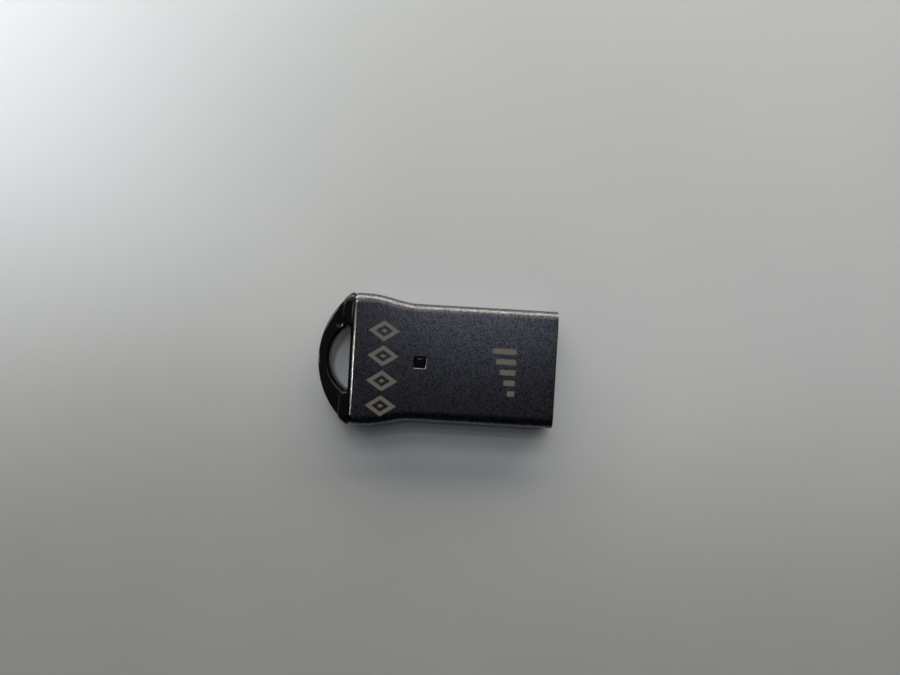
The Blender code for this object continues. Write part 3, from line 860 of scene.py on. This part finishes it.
def etched_metal():
    nodes = Nodes("laser_etched")
    fine = nodes.noise(0.06 * MM, 3.0, 0.6)
    base = nodes.mix(fine, colour(0.13, 0.127, 0.121), colour(0.215, 0.209, 0.2))
    rough = nodes.ramp(fine, 0.3, 0.7, 0.55, 0.75)
    normal = nodes.bump(fine, 0.008 * MM, 0.6)
    nodes.set(Base_Color=base, Roughness=rough, Metallic=0.25, Normal=normal)
    return nodes.material


def gloss_black():
    nodes = Nodes("gloss_black_moulding")
    smudge = nodes.noise(1.6 * MM, 4.0, 0.6)
    peel = nodes.noise(0.35 * MM, 2.0, 0.5)
    scuffs = nodes.noise(0.5 * MM, 4.0, 0.7, nodes.stretched((3.0, 0.35, 1.0)))
    base = nodes.mix(smudge, colour(0.004, 0.004, 0.006), colour(0.011, 0.010, 0.013))
    rough = nodes.ramp(smudge, 0.35, 0.7, 0.06, 0.13)
    rough = nodes.math("ADD", rough, nodes.ramp(scuffs, 0.6, 0.75, 0.0, 0.12))
    normal = nodes.bump(peel, 0.004 * MM, 0.25)
    nodes.set(Base_Color=base, Roughness=rough, Normal=normal)
    return nodes.material


def matt_black():
    nodes = Nodes("spark_textured_plastic")
    fine = nodes.noise(0.06 * MM, 3.0, 0.6)
    cloud = nodes.noise(1.5 * MM, 2.0)
    base = nodes.mix(cloud, colour(0.010, 0.010, 0.011), colour(0.020, 0.020, 0.021))
    rough = nodes.ramp(fine, 0.3, 0.7, 0.42, 0.6)
    normal = nodes.bump(fine, 0.01 * MM, 0.5)
    nodes.set(Base_Color=base, Roughness=rough, Normal=normal)
    return nodes.material


def laminate():
    """Solder-resist over woven glass, whose threads print through."""
    nodes = Nodes("coated_laminate")
    waves = []
    for direction in ("X", "Y"):
        wave = nodes.add(
            "ShaderNodeTexWave",
            {"Vector": nodes.place, "Scale": 800.0, "Distortion": 0.6, "Detail": 1.0},
            bands_direction=direction,
        )
        waves.append(wave.outputs["Fac"])
    weave = nodes.math("MULTIPLY", *waves)
    cloud = nodes.noise(0.8 * MM, 3.0)
    base = nodes.mix(cloud, colour(0.008, 0.014, 0.011), colour(0.014, 0.024, 0.018))
    rough = nodes.ramp(cloud, 0.3, 0.7, 0.28, 0.4)
    normal = nodes.bump(weave, 0.008 * MM, 0.35)
    nodes.set(Base_Color=base, Roughness=rough, Normal=normal)
    return nodes.material


def gold():
    """Plating with wear lines along the way the plug slides in."""
    nodes = Nodes("gold_plating_worn")
    lines = nodes.noise(0.05 * MM, 3.0, 0.6, nodes.stretched((0.04, 1.0, 1.0)))
    patch = nodes.noise(1.2 * MM, 3.0, 0.6)
    worn = nodes.math("MULTIPLY", nodes.ramp(lines, 0.55, 0.72), nodes.ramp(patch, 0.4, 0.6))
    base = nodes.mix(worn, colour(0.86, 0.60, 0.25), colour(0.72, 0.62, 0.46))
    rough = nodes.ramp(lines, 0.3, 0.7, 0.17, 0.34)
    normal = nodes.bump(lines, 0.003 * MM, 0.4)
    nodes.set(Base_Color=base, Roughness=rough, Metallic=1.0, Normal=normal)
    return nodes.material


def epoxy():
    nodes = Nodes("mould_epoxy")
    fine = nodes.noise(0.08 * MM, 4.0, 0.65)
    base = nodes.mix(fine, colour(0.010, 0.010, 0.010), colour(0.024, 0.024, 0.025))
    rough = nodes.ramp(fine, 0.3, 0.7, 0.5, 0.7)
    normal = nodes.bump(fine, 0.012 * MM, 0.5)
    nodes.set(Base_Color=base, Roughness=rough, Normal=normal)
    return nodes.material


def silicon():
    nodes = Nodes("silicon_die")
    cloud = nodes.noise(1.0 * MM, 2.0)
    base = nodes.mix(cloud, colour(0.13, 0.14, 0.17), colour(0.19, 0.2, 0.22))
    rough = nodes.ramp(cloud, 0.3, 0.7, 0.14, 0.26)
    nodes.set(Base_Color=base, Roughness=rough, Metallic=0.6)
    return nodes.material


def fired_ceramic():
    nodes = Nodes("fired_ceramic")
    fine = nodes.noise(0.07 * MM, 3.0)
    base = nodes.mix(fine, colour(0.26, 0.19, 0.13), colour(0.38, 0.29, 0.21))
    rough = nodes.ramp(fine, 0.3, 0.7, 0.45, 0.65)
    nodes.set(Base_Color=base, Roughness=rough, Normal=nodes.bump(fine, 0.006 * MM, 0.4))
    return nodes.material


def tabletop():
    nodes = Nodes("pale_tabletop")
    cloud = nodes.noise(18 * MM, 3.0, 0.5)
    fine = nodes.noise(0.3 * MM, 2.0, 0.5)
    base = nodes.mix(cloud, colour(0.605, 0.668, 0.738), colour(0.66, 0.718, 0.78))
    rough = nodes.ramp(cloud, 0.3, 0.7, 0.45, 0.55)
    nodes.set(Base_Color=base, Roughness=rough, Normal=nodes.bump(fine, 0.004 * MM, 0.3))
    return nodes.material


def dress_buried_parts():
    """The chips and passives inside the mould compound keep their CAD shape."""
    finishes = {"silicon": silicon(), "passive_ceramic": fired_ceramic()}
    for part in frame["record"]["subparts"]:
        made = finishes.get(part["material_slot"])
        if made:
            frame["nodes"][part["node"]].data.materials.clear()
            frame["nodes"][part["node"]].data.materials.append(made)


# ---------------------------------------------------------------- surroundings

CENTRE = (0, 0, 0)
WHITE = (1.0, 0.99, 0.98)
COOL = (0.95, 0.98, 1.05)
WARM = (1.0, 0.96, 0.9)
BACKDROP = 0.45
AMBIENT = 0.005
CAMERA_TURN = 3.35
CAMERA_OFFSET = (1.4 * MM, 2.65 * MM, 0.0)
CAMERA_ABOVE = 68.65 * MM


def make_floor():
    bm = bmesh.new()
    bmesh.ops.create_grid(bm, x_segments=8, y_segments=8, size=1.5)
    floor = add_mesh("tabletop", bm, tabletop())
    floor.location.z = -0.002 * MM


def place_light(light, place, target, power, tint, glossy=True, diffuse=True):
    """Aims a light. It may show in reflections, light matt surfaces, or both."""
    light.energy = power
    light.color = tint
    made = bpy.data.objects.new(light.name, light)
    made.location = place
    aim = Vector(target) - Vector(place)
    made.rotation_euler = aim.to_track_quat("-Z", "Y").to_euler()
    made.visible_glossy = glossy
    made.visible_diffuse = diffuse
    made.visible_camera = False
    bpy.context.scene.collection.objects.link(made)


def panel(name, size):
    light = bpy.data.lights.new(name, "AREA")
    light.shape = "RECTANGLE"
    light.size, light.size_y = size
    return light


def spot(name, angle, blend, softness):
    light = bpy.data.lights.new(name, "SPOT")
    light.spot_size = math.radians(angle)
    light.spot_blend = blend
    light.shadow_soft_size = softness
    return light


def make_world():
    """A pale backdrop for the camera, which adds only a little light."""
    world = bpy.data.worlds.new("studio")
    world.use_nodes = True
    tree = world.node_tree
    background = tree.nodes["Background"]
    background.inputs["Color"].default_value = colour(0.85, 0.93, 1.0)
    strength = tree.nodes.new("ShaderNodeMath")
    strength.operation = "MULTIPLY_ADD"
    seen = tree.nodes.new("ShaderNodeLightPath").outputs["Is Camera Ray"]
    tree.links.new(seen, strength.inputs[0])
    strength.inputs[1].default_value = BACKDROP
    strength.inputs[2].default_value = AMBIENT
    tree.links.new(strength.outputs[0], background.inputs["Strength"])
    bpy.context.scene.world = world


def make_reflected_lights():
    """Lights that the metal and the gloss plastic show, but that don't light the table."""
    above = (0.009, 0.011)
    for name, size, place, target, power, tint in (
        ("strip", (0.04, 0.006), (*above, 0.0895), (*above, 0), 0.0013, COOL),
        ("side", (0.02, 0.016), (-0.19, -0.012, 0.165), CENTRE, 0.03, WARM),
        ("lamp", (0.06, 0.03), (-0.2, 0.085, 0.22), CENTRE, 0.16, WHITE),
        ("far_end", (0.3, 0.2), (0.3, 0.2, 0.2), CENTRE, 0.06, WHITE),
    ):
        place_light(panel(name, size), place, target, power, tint, diffuse=False)


def make_hidden_lights():
    """Lights that only matt surfaces catch, so that the table is lit and the metal stays dark."""
    fill = panel("fill", (0.6, 0.2))
    place_light(fill, (-0.05, -0.4, 0.15), CENTRE, 0.2, WHITE, glossy=False)
    for y in (0.075, 0.12, 0.17):
        overhead = spot(f"overhead_{y}", 40, 0.12, 0.014)
        place_light(overhead, (-0.01, y, 0.38), (0.02, 0.122, 0), 0.38, WHITE, glossy=False)
    key = spot("key", 60, 0.08, 0.11)
    place_light(key, (-0.04, 0.3, 0.3), (0, 0.213, 0), 1.5, WHITE, glossy=False)
    patch = spot("patch", 30, 0.5, 0.03)
    place_light(patch, (-0.13, 0.12, 0.3), (-0.1, 0.07, 0), 3.7, WHITE, glossy=False)


def make_lights():
    make_world()
    make_reflected_lights()
    make_hidden_lights()
    softbox = panel("softbox", (0.5, 0.13))
    place_light(softbox, (0, 0.15, 0.236), CENTRE, 0.105, (1.0, 0.92, 0.8))
    window = panel("window", (0.7, 0.13))
    place_light(window, (0, 0.276, 0.117), CENTRE, 1.1, (1.0, 0.88, 0.7))


def make_camera():
    """Looks straight down, turned a little about the vertical."""
    centre = (cad_box[0] + cad_box[1]) / 2
    turn = math.radians(CAMERA_TURN)
    offset = Matrix.Rotation(turn, 3, "Z") @ Vector(CAMERA_OFFSET)
    camera = bpy.data.cameras.new("camera")
    camera.lens = 27.0
    camera.sensor_width = 36.0
    camera.clip_start = 1 * MM
    camera.clip_end = 10.0
    made = bpy.data.objects.new("camera", camera)
    made.location = Vector((centre.x, centre.y, HEIGHT)) + offset
    made.location.z += CAMERA_ABOVE
    made.rotation_euler = (0, 0, turn)
    bpy.context.scene.collection.objects.link(made)
    bpy.context.scene.camera = made


def main():
    make_shell(gunmetal(), etched_metal(), burnished_metal())
    black = gloss_black()
    make_tail(black)
    make_latch(black)
    make_tray(matt_black())
    make_module(laminate(), epoxy(), gold())
    dress_buried_parts()
    make_floor()
    make_lights()
    make_camera()
    bpy.context.scene.view_settings.view_transform = "Standard"


main()
